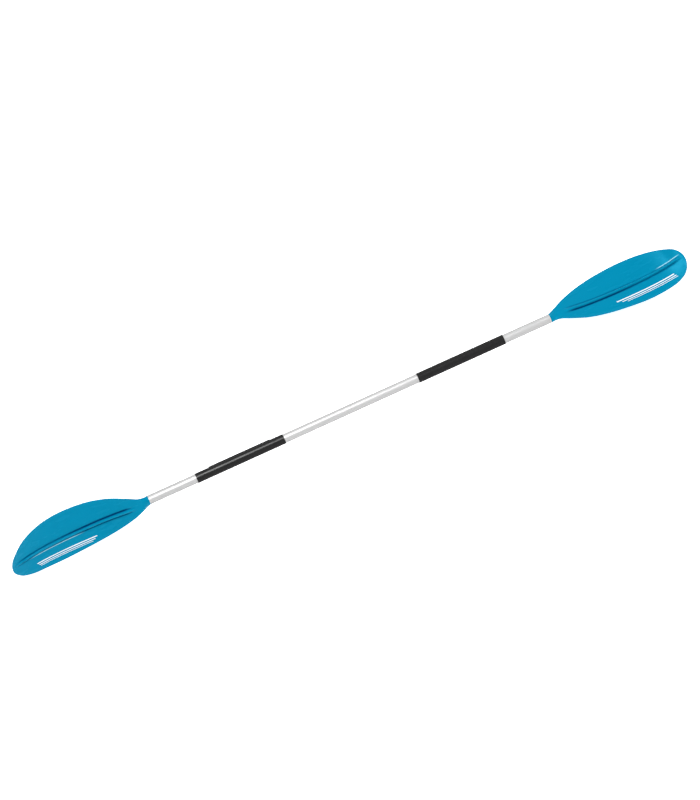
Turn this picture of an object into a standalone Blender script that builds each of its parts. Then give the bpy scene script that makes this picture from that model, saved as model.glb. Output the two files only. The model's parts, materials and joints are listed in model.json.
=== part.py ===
"""A two-piece kayak paddle, 2.2 m long, lying on its left blade's lower edge.

The shaft runs along X with its joint at X = 0. The left blade is at -X and the right blade at +X.
The right blade's power face looks up (+Z), and the left half is turned FEATHER about the shaft.
"""

import math

import bmesh
import bpy
from mathutils import Vector

MM = 0.001
GAP = 0.3 * MM

LENGTH = 2200 * MM
BLADE_LENGTH = 444.7 * MM
FEATHER = math.radians(60)

TUBE_R = 14 * MM
TUBE_WALL = 1.2 * MM
BORE_R = TUBE_R - TUBE_WALL
TUBE_SIDES = 64
NECK = LENGTH / 2 - BLADE_LENGTH

GRIP_INNER_END = 218 * MM
GRIP_OUTER_END = 502 * MM
GRIP_R = 15.1 * MM
GRIP_BORE_R = TUBE_R + GAP
INDEX_INNER_END = 256 * MM
INDEX_OUTER_END = 458 * MM
INDEX_ANGLE = math.radians(-30)
INDEX_STRIP_R = 4.2 * MM
INDEX_STRIP_OFFSET = 11.25 * MM
INDEX_BUMP_R = 6 * MM
INDEX_BUMP_OFFSET = 11.05 * MM

SHANK_R = BORE_R - 0.35 * MM
SHANK_LENGTH = 60 * MM
SHANK_HOLLOW_R = 8.5 * MM
SHANK_HOLLOW_DEPTH = 34 * MM
SHANK_CHAMFER = 1 * MM

SPIGOT_R = 12.4 * MM
SPIGOT_BORE_R = 9.9 * MM
SPIGOT_DEEP_END = 110 * MM
SPIGOT_FIXED_END = 60 * MM
SPIGOT_SIDES = 48
GROOVE_START = 8 * MM
GROOVE_WIDTH = 2 * MM
GROOVE_R = 10.85 * MM
O_RING_MAJOR_R = 11.82 * MM
O_RING_MINOR_R = 0.64 * MM

BUTTON_X = -30 * MM
BUTTON_R = 3.2 * MM
BUTTON_TOP = 15.6 * MM
# The holes are wider than the button and reach towards the joint, where it swings when pressed.
BUTTON_HOLE_X = BUTTON_X + 0.4 * MM
BUTTON_HOLE_R = 3.95 * MM
BUTTON_ANGLE = math.radians(240)
FEATHER_SETTINGS = (0, math.radians(60), math.radians(120))
LEAF_PIVOT_X = -69.5 * MM
LEAF_BEND_R = 2.5 * MM
LEAF_TIP_X = -25.5 * MM
LEAF_SEAT = 8.5 * MM
LEAF_WIDTH = 7 * MM
LEAF_THICKNESS = 0.5 * MM

RIVET_STEM_R = 2 * MM
RIVET_HEAD_R = 3.3 * MM
RIVET_HEAD_HEIGHT = 1.2 * MM
RIVET_HOLE_R = RIVET_STEM_R + GAP
BLADE_RIVETS_FROM_NECK = (14 * MM, 40 * MM)
BLADE_RIVET_TIP = 10.7 * MM
SPIGOT_RIVETS_X = (20 * MM, 45 * MM)
SPIGOT_RIVET_TIP = 10.5 * MM
SPIGOT_RIVET_ANGLE = math.radians(300)
BACK_ANGLE = math.radians(270)

FLOAT_PLUG_R = 12.4 * MM
FLOAT_PLUG_LENGTH = 32 * MM
LEFT_FLOAT_PLUG_X = -175 * MM
RIGHT_FLOAT_PLUG_X = 110 * MM
END_PLUG_FLANGE = 2 * MM
END_PLUG_STEM = 12 * MM
END_PLUG_R = SPIGOT_BORE_R - GAP

# The blade's two edges in millimetres: distance from the neck, across the blade, and towards the power
# face. Both start on the shaft's sides and meet at the tip.
UPPER_EDGE = (
    (0, 14, 0), (12, 17.4, 4), (30, 24, 8.5), (60, 39.5, 5.5), (110, 60.5, -4), (170, 75.5, -9.5),
    (240, 82, -9.5), (300, 79.5, -5), (350, 69, 3.5), (390, 52.5, 14), (420, 31.5, 26), (435, 15, 28.5),
    (442.9, -2.5, 27), (444.7, -16.5, 23.5),
)
LOWER_EDGE = (
    (0, -14, 0), (12, -16.6, 4), (30, -23, 9), (60, -36, 6), (110, -52, -3), (170, -63, -9.5),
    (240, -70.5, -13), (300, -74, -13.5), (350, -72.5, -10.5), (390, -68.6, -4), (420, -58, 3.8),
    (435, -44.5, 10.5), (442.9, -30, 17.5), (444.7, -16.5, 23.5),
)
SECTIONS_PER_SPAN = 2
TIP_SECTIONS = (0.2, 0.04)
PLATE_THICKNESS = 3.4 * MM
PLATE_FULL_AT = 20 * MM
FLAT_FROM = 30 * MM
EDGE_ROUND = 1.7 * MM
NECK_FADE = (-4 * MM, 24 * MM)

# The rib on the power face and the spine on the back: near and far values run from the neck to the tip.
RIB_HEIGHT = 5.2 * MM
RIB_START = (36 * MM, 90 * MM)
RIB_END = (395 * MM, 440 * MM)
RIB_OFFSETS = (-2 * MM, -6 * MM)
RIB_OFFSET_FULL_AT = 40 * MM
RIB_HALF_WIDTHS = (7 * MM, 5 * MM)
SPINE_FADE_END = 230 * MM
SPINE_END_HALF_WIDTH = 6 * MM
SPINE_FLAT_FROM = 70 * MM

# Each section's points across the blade: the zone that a point lies in, and its share of that zone.
ACROSS_PLATE = (
    [("lower_edge", 0), ("lower_edge", 0.3)]
    + [("lower", i / 4) for i in range(4)]
    + [("rib", i / 6) for i in range(7)]
    + [("upper", i / 4) for i in range(1, 5)]
    + [("upper_edge", 0.7), ("upper_edge", 1)]
)

ALUMINIUM = ("aluminium", (0.78, 0.79, 0.8), 0.35, 1.0)
STEEL = ("stainless_steel", (0.62, 0.62, 0.63), 0.25, 1.0)
BLADE_PLASTIC = ("blade_plastic", (0.0, 0.275, 0.46), 0.32, 0.0)
GRIP_RUBBER = ("grip_rubber", (0.025, 0.025, 0.026), 0.6, 0.0)
BLACK_PLASTIC = ("black_plastic", (0.03, 0.03, 0.03), 0.45, 0.0)
SEAL_RUBBER = ("seal_rubber", (0.02, 0.02, 0.02), 0.7, 0.0)
FLOAT_FOAM = ("float_foam", (0.75, 0.75, 0.72), 0.9, 0.0)


def clear_scene():
    for obj in list(bpy.data.objects):
        bpy.data.objects.remove(obj, do_unlink=True)


def new_collection(name):
    collection = bpy.data.collections.new(name)
    bpy.context.scene.collection.children.link(collection)
    return collection


def material_for(name, spec):
    """Each part has its own Principled material, with its colour, roughness and metallic value."""
    kind, color, roughness, metallic = spec
    material = bpy.data.materials.new(f"{name}_{kind}")
    material.use_nodes = True
    shader = material.node_tree.nodes["Principled BSDF"]
    shader.inputs["Base Color"].default_value = (*color, 1)
    shader.inputs["Roughness"].default_value = roughness
    shader.inputs["Metallic"].default_value = metallic
    material.diffuse_color = (*color, 1)
    return material


def add_part(name, mesh, spec, parent):
    obj = bpy.data.objects.new(name, mesh)
    mesh.materials.append(material_for(name, spec))
    mesh.shade_smooth()
    mesh.set_sharp_from_angle(angle=math.radians(35))
    PARTS.objects.link(obj)
    obj.parent = parent
    return obj


def add_cutter(name, mesh, parent):
    obj = bpy.data.objects.new(name, mesh)
    CUTTERS.objects.link(obj)
    obj.hide_render = True
    obj.display_type = "WIRE"
    obj.parent = parent
    return obj


def add_empty(name, location, parent=None):
    empty = bpy.data.objects.new(name, None)
    empty.empty_display_size = 0.05
    PARTS.objects.link(empty)
    empty.location = location
    empty.parent = parent
    return empty


def profile_mesh(name, profile, closed):
    """Edges in the XZ plane: profile holds (radius, height), running down the outer side."""
    mesh = bpy.data.meshes.new(name)
    count = len(profile)
    edges = [(i, i + 1) for i in range(count - 1)]
    if closed:
        edges.append((count - 1, 0))
    mesh.from_pydata([(radius, 0, height) for radius, height in profile], edges, [])
    return mesh


def spin(obj, sides):
    screw = obj.modifiers.new("turn", "SCREW")
    screw.axis = "Z"
    screw.angle = 2 * math.pi
    screw.steps = sides
    screw.render_steps = sides
    screw.use_merge_vertices = True
    screw.merge_threshold = 1e-6
    screw.use_smooth_shade = True


def turn_along_shaft(obj, x):
    """A turned shape's own Z axis is laid along the shaft's +X."""
    obj.location = (x, 0, 0)
    obj.rotation_euler = (0, math.pi / 2, 0)


def point_outward(obj, x, angle):
    """A turned shape's own Z axis points out of the shaft, at this angle from +Y towards +Z."""
    obj.location = (x, 0, 0)
    obj.rotation_euler = (angle - math.pi / 2, 0, 0)


def sleeve_profile(inner, outer, start, end):
    return [(outer, end), (outer, start), (inner, start), (inner, end)]


def solid_profile(radius, start, end):
    return [(0, end), (radius, end), (radius, start), (0, start)]


def capsule_profile(radius, start, end, rings=6):
    """A round bar with half-ball ends, from start to end over all."""
    top = [(radius * math.sin(a), end - radius + radius * math.cos(a)) for a in quarter_turn(rings)]
    foot = [(radius * math.cos(a), start + radius - radius * math.sin(a)) for a in quarter_turn(rings)]
    return top + foot


def quarter_turn(rings):
    return [math.pi / 2 * i / rings for i in range(rings + 1)]


def rivet_profile(tip):
    """A domed head over a stem, whose tip lies at this distance from the shaft's axis."""
    base = TUBE_R + GAP
    dome = [
        (RIVET_HEAD_R * math.sin(a), base + RIVET_HEAD_HEIGHT * (0.25 + 0.75 * math.cos(a)))
        for a in quarter_turn(5)
    ]
    return dome + [(RIVET_HEAD_R, base), (RIVET_STEM_R, base), (RIVET_STEM_R, tip), (0, tip)]


def cut(obj, cutter, operation="DIFFERENCE"):
    boolean = obj.modifiers.new(cutter.name, "BOOLEAN")
    boolean.operation = operation
    boolean.solver = "EXACT"
    boolean.object = cutter


def radial_cutter(name, parent, x, angle, radius, inner, outer):
    cutter = add_cutter(name, profile_mesh(name, solid_profile(radius, inner, outer), False), parent)
    spin(cutter, 24)
    point_outward(cutter, x, angle)
    return cutter


def axial_cutter(name, parent, radius, start, end, sides=TUBE_SIDES):
    cutter = add_cutter(name, profile_mesh(name, solid_profile(radius, start, end), False), parent)
    spin(cutter, sides)
    turn_along_shaft(cutter, 0)
    return cutter


def capsule_cutter(name, parent, radius, offset, start, end):
    """A round-ended bar beside the shaft, on the index side of the left grip."""
    cutter = add_cutter(name, profile_mesh(name, capsule_profile(radius, start, end), False), parent)
    spin(cutter, 24)
    turn_along_shaft(cutter, 0)
    cutter.location = (0, offset * math.cos(INDEX_ANGLE), offset * math.sin(INDEX_ANGLE))
    return cutter


def add_turned(name, profile, spec, parent, x, sides, closed=True):
    obj = add_part(name, profile_mesh(name, profile, closed), spec, parent)
    spin(obj, sides)
    turn_along_shaft(obj, x)
    return obj


def add_rivet(name, parent, x, angle, tip):
    obj = add_part(name, profile_mesh(name, rivet_profile(tip), False), ALUMINIUM, parent)
    spin(obj, 20)
    point_outward(obj, x, angle)


def smooth(start, end, value):
    """0 before start, 1 after end, and an S-curve between them."""
    t = min(max((value - start) / (end - start), 0), 1)
    return t * t * (3 - 2 * t)


def mix(first, second, share):
    return first + (second - first) * share


def along(knots, t):
    """The point at parameter t of a Catmull-Rom curve through the knots, which lie at t = 0, 1, 2..."""
    i = min(int(t), len(knots) - 2)
    f = t - i
    before = knots[max(i - 1, 0)]
    after = knots[min(i + 2, len(knots) - 1)]
    point = []
    for a, b, c, d in zip(before, knots[i], knots[i + 1], after):
        slope_b = (c - a) / 2
        slope_c = (d - b) / 2
        point.append(
            b
            + slope_b * f
            + (3 * (c - b) - 2 * slope_b - slope_c) * f * f
            + (2 * (b - c) + slope_b + slope_c) * f ** 3
        )
    return Vector(point) * MM


def blade_stations():
    """Curve parameters from the neck to the tip, closer together where the tip rounds over."""
    last = len(UPPER_EDGE) - 1
    count = last * SECTIONS_PER_SPAN
    even = [i / SECTIONS_PER_SPAN for i in range(count)]
    return even + [last - step for step in TIP_SECTIONS]


def across(lower, upper, u):
    """Positions across the blade from its lower edge to its upper edge, closer at the edges and the rib."""
    width = upper - lower
    steps = len(ACROSS_PLATE) - 1
    even = [lower + width / 2 * (1 - math.cos(math.pi * i / steps)) for i in range(steps + 1)]
    # Near the tip the rib's zones stay in the middle third, and narrow with the blade.
    rib = min(max(rib_centre(u), lower + 0.35 * width), upper - 0.35 * width)
    half = min(rib_half_width(u), width / 6)
    edge = min(EDGE_ROUND, width / 10)
    zones = {
        "lower_edge": (lower, lower + edge),
        "lower": (lower + edge, rib - half),
        "rib": (rib - half, rib + half),
        "upper": (rib + half, upper - edge),
        "upper_edge": (upper - edge, upper),
    }
    zoned = [mix(*zones[zone], share) for zone, share in ACROSS_PLATE]
    flatness = smooth(0, FLAT_FROM, u)
    return [mix(a, b, flatness) for a, b in zip(even, zoned)]


def rib_centre(u):
    return smooth(0, RIB_OFFSET_FULL_AT, u) * mix(*RIB_OFFSETS, u / BLADE_LENGTH)


def rib_half_width(u):
    return mix(*RIB_HALF_WIDTHS, u / BLADE_LENGTH)


def blade_section(t):
    """The closed outline of one section as points (distance, across, towards the power face)."""
    lower = along(LOWER_EDGE, t)
    upper = along(UPPER_EDGE, t)
    u = (lower.x + upper.x) / 2
    width = upper.y - lower.y
    rib = RIB_HEIGHT * smooth(*RIB_START, u) * (1 - smooth(*RIB_END, u))
    thickness = PLATE_THICKNESS * smooth(0, PLATE_FULL_AT, u)
    neck = (1 - smooth(*NECK_FADE, u)) / (1 - smooth(*NECK_FADE, 0))
    spine = max(1 - u / SPINE_FADE_END, 0) * (TUBE_R + (lower.z + upper.z) / 2)
    spine_half = mix(TUBE_R, SPINE_END_HALF_WIDTH, min(u / SPINE_FADE_END, 1))
    spine_power = 0.5 + smooth(0, SPINE_FLAT_FROM, u)
    front, back = [], []
    for y in across(lower.y, upper.y, u):
        share = (y - lower.y) / width
        chord = mix(lower, upper, share)
        from_edge = min(y - lower.y, upper.y - y)
        rounding = math.sqrt(max(1 - max(1 - from_edge / EDGE_ROUND, 0) ** 2, 0))
        across_neck = max(1 - (2 * share - 1) ** 2, 0)
        across_rib = min(abs(y - rib_centre(u)) / rib_half_width(u), 1)
        across_spine = max(1 - ((y - rib_centre(u)) / spine_half) ** 2, 0)
        half = thickness / 2 * rounding
        lift = half + neck * TUBE_R * math.sqrt(across_neck) + rib * (1 - across_rib ** 2) ** 1.5
        drop = half + spine * across_spine ** spine_power
        front.append(chord + Vector((0, 0, lift)))
        back.append(chord - Vector((0, 0, drop)))
    return front + back[-2:0:-1]


def ring_section(radius, u):
    """A round section with as many points as a blade section, starting at the lower edge."""
    count = 2 * len(ACROSS_PLATE) - 2
    return [
        Vector((u, -radius * math.cos(2 * math.pi * i / count), radius * math.sin(2 * math.pi * i / count)))
        for i in range(count)
    ]


def blade_mesh(name, side):
    """A loft from the shank through the neck to the tip. side is +1 for the right blade, -1 for the left."""
    sections = [
        ring_section(SHANK_R - SHANK_CHAMFER / 2, -SHANK_LENGTH),
        ring_section(SHANK_R, -SHANK_LENGTH + SHANK_CHAMFER),
        ring_section(SHANK_R, 0),
    ]
    sections += [blade_section(t) for t in blade_stations()]
    tip = along(UPPER_EDGE, len(UPPER_EDGE) - 1)
    mesh = bmesh.new()
    rings = [
        [mesh.verts.new((side * (NECK + p.x), p.y, p.z)) for p in section]
        for section in sections
    ]
    count = len(rings[0])
    for inner, outer in zip(rings, rings[1:]):
        for i in range(count):
            j = (i + 1) % count
            mesh.faces.new((inner[i], inner[j], outer[j], outer[i]))
    end = mesh.verts.new((side * (NECK + tip.x), tip.y, tip.z))
    for i in range(count):
        mesh.faces.new((rings[-1][i], rings[-1][(i + 1) % count], end))
    mesh.faces.new(rings[0])
    bmesh.ops.recalc_face_normals(mesh, faces=mesh.faces)
    data = bpy.data.meshes.new(name)
    mesh.to_mesh(data)
    mesh.free()
    return data


def add_blade(name, side, parent):
    blade = add_part(name, blade_mesh(name, side), BLADE_PLASTIC, parent)
    ends = sorted((side * (NECK - SHANK_LENGTH - MM), side * (NECK - SHANK_LENGTH + SHANK_HOLLOW_DEPTH)))
    cut(blade, axial_cutter(f"{name}_hollow", parent, SHANK_HOLLOW_R, *ends, sides=24))
    for number, distance in enumerate(BLADE_RIVETS_FROM_NECK, 1):
        x = side * (NECK - distance)
        tip = BLADE_RIVET_TIP - GAP
        hole = f"{name}_rivet_hole_{number}"
        cut(blade, radial_cutter(hole, parent, x, BACK_ANGLE, RIVET_HOLE_R, tip, TUBE_R + MM))
        add_rivet(f"{name}_rivet_{number}", parent, x, BACK_ANGLE, BLADE_RIVET_TIP)
    return blade


def add_tube(name, side, parent):
    ends = sorted((side * GAP / 2, side * (NECK - GAP)))
    tube = add_turned(name, sleeve_profile(BORE_R, TUBE_R, *ends), ALUMINIUM, parent, 0, TUBE_SIDES)
    for number, distance in enumerate(BLADE_RIVETS_FROM_NECK, 1):
        x = side * (NECK - distance)
        hole = f"{name}_rivet_hole_{number}"
        cut(tube, radial_cutter(hole, parent, x, BACK_ANGLE, RIVET_HOLE_R, BORE_R - MM, TUBE_R + MM))
    return tube


def add_grip(name, side, parent):
    ends = sorted((side * GRIP_INNER_END, side * GRIP_OUTER_END))
    return add_turned(name, sleeve_profile(GRIP_BORE_R, GRIP_R, *ends), GRIP_RUBBER, parent, 0, TUBE_SIDES)


def add_float_plug(name, parent, x):
    profile = solid_profile(FLOAT_PLUG_R, -FLOAT_PLUG_LENGTH / 2, FLOAT_PLUG_LENGTH / 2)
    add_turned(name, profile, FLOAT_FOAM, parent, x, 32, closed=False)


def add_right_half(parent):
    tube = add_tube("right_shaft_tube", 1, parent)
    add_grip("right_grip_sleeve", 1, parent)
    add_blade("right_blade", 1, parent)
    add_float_plug("right_float_plug", parent, RIGHT_FLOAT_PLUG_X)
    spigot = add_spigot(parent)
    for number, x in enumerate(SPIGOT_RIVETS_X, 1):
        hole = f"spigot_rivet_hole_{number}"
        cutter = radial_cutter(
            hole, parent, x, SPIGOT_RIVET_ANGLE, RIVET_HOLE_R, SPIGOT_BORE_R - MM, TUBE_R + MM
        )
        cut(tube, cutter)
        cut(spigot, cutter)
        add_rivet(f"spigot_rivet_{number}", parent, x, SPIGOT_RIVET_ANGLE, SPIGOT_RIVET_TIP)
    add_end_plug(parent)


def add_spigot(parent):
    """The inner ferrule: a sleeve fixed in the right tube, with a groove for its seal and a button hole."""
    groove = (-GROOVE_START - GROOVE_WIDTH, -GROOVE_START)
    profile = [
        (SPIGOT_R, SPIGOT_FIXED_END),
        (SPIGOT_R, groove[1]),
        (GROOVE_R, groove[1]),
        (GROOVE_R, groove[0]),
        (SPIGOT_R, groove[0]),
        (SPIGOT_R, -SPIGOT_DEEP_END),
        (SPIGOT_BORE_R, -SPIGOT_DEEP_END),
        (SPIGOT_BORE_R, SPIGOT_FIXED_END),
    ]
    spigot = add_turned("ferrule_spigot", profile, BLACK_PLASTIC, parent, 0, SPIGOT_SIDES)
    hole = radial_cutter(
        "spigot_button_hole", parent, BUTTON_HOLE_X, BUTTON_ANGLE, BUTTON_HOLE_R, SPIGOT_BORE_R - MM, TUBE_R
    )
    cut(spigot, hole)
    return spigot


def add_end_plug(parent):
    """The cap that keeps water out of the spigot's deep end."""
    end = -SPIGOT_DEEP_END - GAP
    profile = [
        (0, end + END_PLUG_STEM),
        (END_PLUG_R, end + END_PLUG_STEM),
        (END_PLUG_R, end),
        (SPIGOT_R, end),
        (SPIGOT_R, end - END_PLUG_FLANGE),
        (0, end - END_PLUG_FLANGE),
    ]
    add_turned("spigot_end_plug", profile, BLACK_PLASTIC, parent, 0, 32, closed=False)


def add_left_half(parent):
    tube = add_tube("left_shaft_tube", -1, parent)
    for number, setting in enumerate(FEATHER_SETTINGS, 1):
        angle = BUTTON_ANGLE - FEATHER + setting
        hole = f"feather_hole_{number}"
        cut(tube, radial_cutter(hole, parent, BUTTON_HOLE_X, angle, BUTTON_HOLE_R, BORE_R - MM, TUBE_R + MM))
    add_left_grip(parent)
    add_blade("left_blade", -1, parent)
    add_float_plug("left_float_plug", parent, LEFT_FLOAT_PLUG_X)


def add_left_grip(parent):
    """The left sleeve swells over a round-ended index strip that lies on the tube."""
    sleeve = add_grip("left_grip_sleeve", -1, parent)
    swell = capsule_cutter(
        "index_swell", parent, INDEX_BUMP_R, INDEX_BUMP_OFFSET, -INDEX_OUTER_END, -INDEX_INNER_END
    )
    bore = axial_cutter("index_bore", parent, GRIP_BORE_R, -GRIP_OUTER_END - MM, -GRIP_INNER_END + MM)
    pocket_ends = (-INDEX_OUTER_END + MM, -INDEX_INNER_END - MM)
    pocket = capsule_cutter(
        "index_pocket", parent, INDEX_STRIP_R + GAP, INDEX_STRIP_OFFSET, *pocket_ends
    )
    cut(sleeve, swell, "UNION")
    cut(sleeve, bore)
    cut(sleeve, pocket)
    strip_ends = (pocket_ends[0] + GAP, pocket_ends[1] - GAP)
    strip = add_part(
        "left_index_strip",
        profile_mesh("left_index_strip", capsule_profile(INDEX_STRIP_R, *strip_ends), False),
        BLACK_PLASTIC,
        parent,
    )
    spin(strip, 24)
    turn_along_shaft(strip, 0)
    strip.location = (
        0,
        INDEX_STRIP_OFFSET * math.cos(INDEX_ANGLE),
        INDEX_STRIP_OFFSET * math.sin(INDEX_ANGLE),
    )
    cut(strip, bore)


def add_o_ring(parent):
    ring = bmesh.new()
    count = 8
    circle = [2 * math.pi * i / count for i in range(count)]
    verts = [
        ring.verts.new((O_RING_MAJOR_R + O_RING_MINOR_R * math.cos(a), 0, -O_RING_MINOR_R * math.sin(a)))
        for a in circle
    ]
    for i in range(count):
        ring.edges.new((verts[i], verts[(i + 1) % count]))
    mesh = bpy.data.meshes.new("ferrule_o_ring")
    ring.to_mesh(mesh)
    ring.free()
    obj = add_part("ferrule_o_ring", mesh, SEAL_RUBBER, parent)
    spin(obj, SPIGOT_SIDES)
    turn_along_shaft(obj, -GROOVE_START - GROOVE_WIDTH / 2)


def leaf_mesh(name, path):
    """A strip of sheet along the path's (x, height) points, centred across its width."""
    strip = bmesh.new()
    rows = [
        [strip.verts.new((x, y, z)) for y in (-LEAF_WIDTH / 2, LEAF_WIDTH / 2)] for x, z in path
    ]
    for first, second in zip(rows, rows[1:]):
        strip.faces.new((first[0], second[0], second[1], first[1]))
    mesh = bpy.data.meshes.new(name)
    strip.to_mesh(mesh)
    strip.free()
    return mesh


def leaf_path(sign):
    """From the apex of the bend round to the leaf, and along it, in the pivot's own frame."""
    start = math.radians(4)
    turn = [start + (math.pi / 2 - start) * i / 5 for i in range(6)]
    bend = [(-LEAF_BEND_R * math.cos(a), sign * LEAF_BEND_R * math.sin(a)) for a in turn]
    rise = BUTTON_X - 8 * MM - LEAF_PIVOT_X
    return bend + [(rise, sign * LEAF_SEAT), (LEAF_TIP_X - LEAF_PIVOT_X, sign * LEAF_SEAT)]


def add_leaf(name, sign, parent):
    leaf = add_part(name, leaf_mesh(name, leaf_path(sign)), STEEL, parent)
    solidify = leaf.modifiers.new("sheet", "SOLIDIFY")
    solidify.thickness = LEAF_THICKNESS
    solidify.offset = 0
    return leaf


def add_snap_clip(right_half, pivot):
    """A V-shaped leaf spring in the spigot. Its button leaf bends about the pivot at the V's root."""
    leaf = add_leaf("snap_button_leaf", 1, pivot)
    round_over = 1 * MM
    dome = [
        (
            BUTTON_R - round_over * (1 - math.sin(a)),
            BUTTON_TOP - round_over * (1 - math.cos(a)),
        )
        for a in quarter_turn(4)
    ]
    profile = [(0, BUTTON_TOP)] + dome + [(BUTTON_R, LEAF_SEAT), (0, LEAF_SEAT)]
    button = add_cutter("snap_button", profile_mesh("snap_button", profile, False), pivot)
    spin(button, 24)
    button.location = (BUTTON_X - LEAF_PIVOT_X, 0, 0)
    cut(leaf, button, "UNION")
    rest = add_leaf("snap_back_leaf", -1, right_half)
    rest.location = pivot.location
    rest.rotation_euler = pivot.rotation_euler


def lowest_point(turn):
    """The blade's lowest height below the shaft's axis when it is turned about the shaft."""
    points = [p for t in blade_stations() for p in blade_section(t)]
    return min(p.y * math.sin(turn) + p.z * math.cos(turn) for p in points)


clear_scene()
PARTS = new_collection("kayak_paddle")
CUTTERS = new_collection("kayak_paddle_cutters")
axis_height = -lowest_point(FEATHER)
root = add_empty("right_half", (0, 0, axis_height))
twist = add_empty("feather_twist", (0, 0, 0), root)
twist.rotation_euler = (FEATHER, 0, 0)
snap_pivot = add_empty("snap_pivot", (LEAF_PIVOT_X, 0, 0), root)
snap_pivot.rotation_euler = (BUTTON_ANGLE - math.pi / 2, 0, 0)
add_right_half(root)
add_o_ring(twist)
add_left_half(twist)
add_snap_clip(root, snap_pivot)
CUTTERS.hide_render = True
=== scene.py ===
"""The looks of a two-piece kayak paddle: moulded blades, drawn tubes, rubber grips and the snap ferrule.

Each half is modelled in its own frame: X along the shaft, Y across the blade and Z towards its power
face. The right half's frame only lifts the shaft off the floor. The left half's is turned FEATHER as well.
"""

import json
import math

import bmesh
import bpy
from mathutils import Matrix, Vector


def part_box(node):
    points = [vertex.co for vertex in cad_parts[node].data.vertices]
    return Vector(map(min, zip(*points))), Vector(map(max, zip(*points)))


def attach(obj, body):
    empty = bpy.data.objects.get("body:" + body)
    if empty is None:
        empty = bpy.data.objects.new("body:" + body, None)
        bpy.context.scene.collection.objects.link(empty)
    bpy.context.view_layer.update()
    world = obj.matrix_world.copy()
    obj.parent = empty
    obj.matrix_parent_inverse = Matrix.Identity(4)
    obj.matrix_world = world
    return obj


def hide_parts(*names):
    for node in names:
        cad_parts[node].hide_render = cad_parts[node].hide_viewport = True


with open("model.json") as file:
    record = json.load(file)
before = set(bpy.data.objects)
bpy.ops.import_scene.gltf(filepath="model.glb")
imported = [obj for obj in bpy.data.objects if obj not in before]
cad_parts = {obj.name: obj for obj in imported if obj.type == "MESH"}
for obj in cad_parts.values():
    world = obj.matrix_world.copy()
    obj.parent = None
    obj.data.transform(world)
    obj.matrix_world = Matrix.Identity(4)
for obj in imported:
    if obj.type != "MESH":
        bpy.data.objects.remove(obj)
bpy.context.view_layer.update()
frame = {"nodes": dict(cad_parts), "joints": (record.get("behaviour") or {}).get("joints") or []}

MM = 0.001
GAP = 0.3 * MM
FEATHER = math.radians(60)
AXIS_HEIGHT = frame["joints"][0]["pos_m"][2]
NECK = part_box("right_shaft_tube")[1].x + GAP
BLADE_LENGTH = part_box("right_blade")[1].x - NECK
TUBE_R = (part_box("right_shaft_tube")[1].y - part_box("right_shaft_tube")[0].y) / 2
TUBE_WALL = 1.2 * MM
BORE_R = TUBE_R - TUBE_WALL

RIGHT_FRAME = Matrix.Translation((0, 0, AXIS_HEIGHT))
LEFT_FRAME = RIGHT_FRAME @ Matrix.Rotation(FEATHER, 4, "X")

# A lathe profile's side counts as long, and gets a point beside each end, in multiples of its corner radius.
LONG_SIDE = 12
SIDE_POINT = 3

TUBE_SIDES = 160
TUBE_LIP = 0.25 * MM
GRIP_INNER_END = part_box("right_grip_sleeve")[0].x
GRIP_OUTER_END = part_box("right_grip_sleeve")[1].x
GRIP_R = (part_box("right_grip_sleeve")[1].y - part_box("right_grip_sleeve")[0].y) / 2
GRIP_BORE_R = TUBE_R + GAP
GRIP_LIP = 0.7 * MM
GRIP_SIDES = 144
INDEX_INNER_END = 256 * MM
INDEX_OUTER_END = 458 * MM
INDEX_ANGLE = math.radians(-30)
INDEX_STRIP_R = 4.2 * MM
INDEX_STRIP_OFFSET = 11.25 * MM
INDEX_BUMP_R = 6 * MM
INDEX_BUMP_OFFSET = 11.05 * MM
INDEX_FILLET = 1.6 * MM

SHANK_R = BORE_R - 0.35 * MM
SHANK_LENGTH = 60 * MM
SHANK_HOLLOW_R = 8.5 * MM
SHANK_HOLLOW_DEPTH = 34 * MM
SHANK_CHAMFER = 1 * MM

SPIGOT_R = 12.4 * MM
SPIGOT_BORE_R = 9.9 * MM
SPIGOT_DEEP_END = 110 * MM
SPIGOT_FIXED_END = 60 * MM
RING_GROOVE_START = 8 * MM
RING_GROOVE_WIDTH = 2 * MM
RING_GROOVE_R = 10.85 * MM
O_RING_MAJOR_R = 11.82 * MM
O_RING_MINOR_R = 0.64 * MM

BUTTON_X = -30 * MM
BUTTON_R = 3.2 * MM
BUTTON_TOP = 15.6 * MM
# The holes are wider than the button and reach towards the joint, where it swings when pressed.
BUTTON_HOLE_X = BUTTON_X + 0.4 * MM
BUTTON_HOLE_R = 3.95 * MM
BUTTON_ANGLE = math.radians(240)
FEATHER_SETTINGS = (0, math.radians(60), math.radians(120))
LEAF_PIVOT_X = -69.5 * MM
LEAF_BEND_R = 2.5 * MM
LEAF_TIP_X = -25.5 * MM
LEAF_SEAT = 8.5 * MM
LEAF_WIDTH = 7 * MM
LEAF_THICKNESS = 0.5 * MM
LEAF_BEND_STEPS = 12
LEAF_FLAT_BEFORE_BUTTON = 8 * MM

RIVET_STEM_R = 2 * MM
RIVET_HEAD_R = 3.3 * MM
RIVET_HEAD_HEIGHT = 1.2 * MM
RIVET_HOLE_R = RIVET_STEM_R + GAP
MANDREL_R = 1.05 * MM
MANDREL_RECESS = 0.7 * MM
BLADE_RIVETS_FROM_NECK = (14 * MM, 40 * MM)
BLADE_RIVET_TIP = 10.7 * MM
SPIGOT_RIVETS_X = (20 * MM, 45 * MM)
SPIGOT_RIVET_TIP = 10.5 * MM
SPIGOT_RIVET_ANGLE = math.radians(300)
BACK_ANGLE = math.radians(270)

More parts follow.
